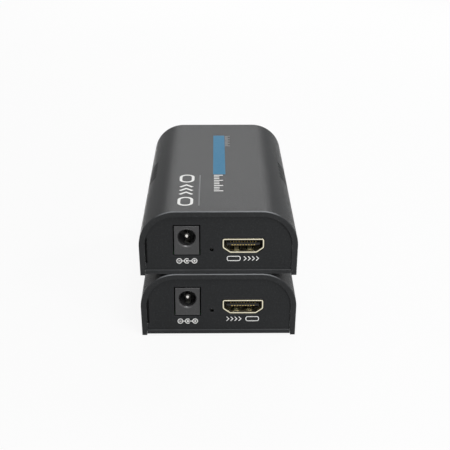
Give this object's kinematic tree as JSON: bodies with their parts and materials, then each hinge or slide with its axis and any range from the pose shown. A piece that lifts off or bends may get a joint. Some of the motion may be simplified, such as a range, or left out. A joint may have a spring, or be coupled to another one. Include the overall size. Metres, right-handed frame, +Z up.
{
  "type": "hdmi extender",
  "caption": "Video extender over network cable: transmitter box with its receiver box stacked on top, each with a rounded vented hood, power socket, video port and network jack.",
  "frame": {"origin": "centre of the footprint, on the surface that the transmitter's rails stand on", "axes": "+X to the right seen from the front, +Y from the socket fronts to the network jacks, +Z up through the stack"},
  "size_m": [0.0576, 0.112, 0.0494],
  "materials": {
    "hood_plastic": "dark grey, fine satin moulding",
    "base_plastic": "black-grey, fine satin moulding",
    "panel_plastic": "black-grey, smooth matt",
    "black_screw_steel": "black oxide",
    "zinc_screw_steel": "zinc plated",
    "board_laminate": "green solder mask on glass laminate",
    "socket_plastic": "black nylon",
    "pin_nickel": "nickel plated",
    "tinned_contact": "tinned sheet",
    "gold_plated_shell": "pale gold flash",
    "black_moulding": "black glass-filled moulding",
    "gold_contact": "gold plated",
    "switch_plastic": "black moulding",
    "plunger_plastic": "pale moulding",
    "nickel_shield": "nickel plated folded sheet",
    "led_lens": "tinted clear epoxy",
    "chip_epoxy": "black epoxy",
    "sink_aluminium": "plain extruded",
    "crystal_can": "drawn can",
    "ferrite": "ground ferrite",
    "capacitor_can": "drawn can"
  },
  "bodies": {
    "transmitter": {"transmitter_hood": "hood_plastic", "transmitter_base_plate": "base_plastic", "transmitter_front_panel": "panel_plastic", "transmitter_rear_panel": "panel_plastic", "transmitter_case_screws": "black_screw_steel", "transmitter_main_board": "board_laminate", "transmitter_board_screws": "zinc_screw_steel", "transmitter_dc_jack_body": "socket_plastic", "transmitter_dc_jack_pin": "pin_nickel", "transmitter_dc_jack_contacts": "tinned_contact", "transmitter_video_port_shell": "gold_plated_shell", "transmitter_video_port_tongue": "black_moulding", "transmitter_video_port_contacts": "gold_contact", "transmitter_reset_switch_body": "switch_plastic", "transmitter_network_jack_shield": "nickel_shield", "transmitter_network_jack_insert": "black_moulding", "transmitter_network_jack_contacts": "gold_contact", "transmitter_infrared_jack_body": "socket_plastic", "transmitter_infrared_jack_contacts": "tinned_contact", "transmitter_status_leds": "led_lens", "transmitter_network_transformer": "chip_epoxy", "transmitter_processor_chip": "chip_epoxy", "transmitter_heat_sink": "sink_aluminium", "transmitter_memory_chip": "chip_epoxy", "transmitter_video_chip": "chip_epoxy", "transmitter_crystal": "crystal_can", "transmitter_power_inductor": "ferrite", "transmitter_capacitors": "capacitor_can"},
    "transmitter_reset_button": {"transmitter_reset_plunger": "plunger_plastic"},
    "receiver": {"receiver_hood": "hood_plastic", "receiver_base_plate": "base_plastic", "receiver_front_panel": "panel_plastic", "receiver_rear_panel": "panel_plastic", "receiver_case_screws": "black_screw_steel", "receiver_main_board": "board_laminate", "receiver_board_screws": "zinc_screw_steel", "receiver_dc_jack_body": "socket_plastic", "receiver_dc_jack_pin": "pin_nickel", "receiver_dc_jack_contacts": "tinned_contact", "receiver_video_port_shell": "gold_plated_shell", "receiver_video_port_tongue": "black_moulding", "receiver_video_port_contacts": "gold_contact", "receiver_reset_switch_body": "switch_plastic", "receiver_network_jack_shield": "nickel_shield", "receiver_network_jack_insert": "black_moulding", "receiver_network_jack_contacts": "gold_contact", "receiver_infrared_jack_body": "socket_plastic", "receiver_infrared_jack_contacts": "tinned_contact", "receiver_status_leds": "led_lens", "receiver_network_transformer": "chip_epoxy", "receiver_processor_chip": "chip_epoxy", "receiver_heat_sink": "sink_aluminium", "receiver_memory_chip": "chip_epoxy", "receiver_video_chip": "chip_epoxy", "receiver_crystal": "crystal_can", "receiver_power_inductor": "ferrite", "receiver_capacitors": "capacitor_can"},
    "receiver_reset_button": {"receiver_reset_plunger": "plunger_plastic"}
  },
  "joints": [
    {"name": "receiver_lift", "type": "slide", "parent": "transmitter", "child": "receiver", "axis": [0, 0, 1], "range_m": [0, 0.06]},
    {"name": "transmitter_reset_press", "type": "slide", "parent": "transmitter", "child": "transmitter_reset_button", "axis": [0, 1, 0], "range_m": [0, 0.00025], "stiffness_N_per_m": 1000},
    {"name": "receiver_reset_press", "type": "slide", "parent": "receiver", "child": "receiver_reset_button", "axis": [0, 1, 0], "range_m": [0, 0.00025], "stiffness_N_per_m": 1000}
  ]
}
